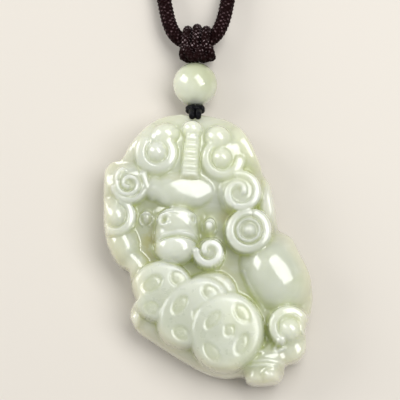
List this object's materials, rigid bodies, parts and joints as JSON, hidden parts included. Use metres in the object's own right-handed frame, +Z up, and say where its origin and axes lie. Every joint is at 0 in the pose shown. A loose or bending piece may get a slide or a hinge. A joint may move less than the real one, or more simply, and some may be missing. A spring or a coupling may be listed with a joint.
{
  "type": "jade pendant necklace",
  "caption": "Pale green jade pendant carved as a curly-maned guardian beast over round coins, under a jade bead and knots on a looped dark braided neck cord.",
  "frame": {"origin": "middle of the carving's flat back, on the surface that the piece lies on", "axes": "+X to the right across the carved face, +Y from the carving towards the neck cord, +Z up out of the carved face"},
  "size_m": [0.1819, 0.3098, 0.0113],
  "materials": {
    "jade": "polished translucent celadon jade",
    "bead_jade": "polished translucent jade, slightly greener",
    "black_thread": "waxed black thread",
    "braided_cord": "matte dark plum-brown braid"
  },
  "bodies": {
    "root": {"carving": "jade", "bead": "bead_jade", "bead_cord": "black_thread", "base_knot": "black_thread", "top_knot": "braided_cord", "neck_cord": "braided_cord"}
  },
  "joints": []
}
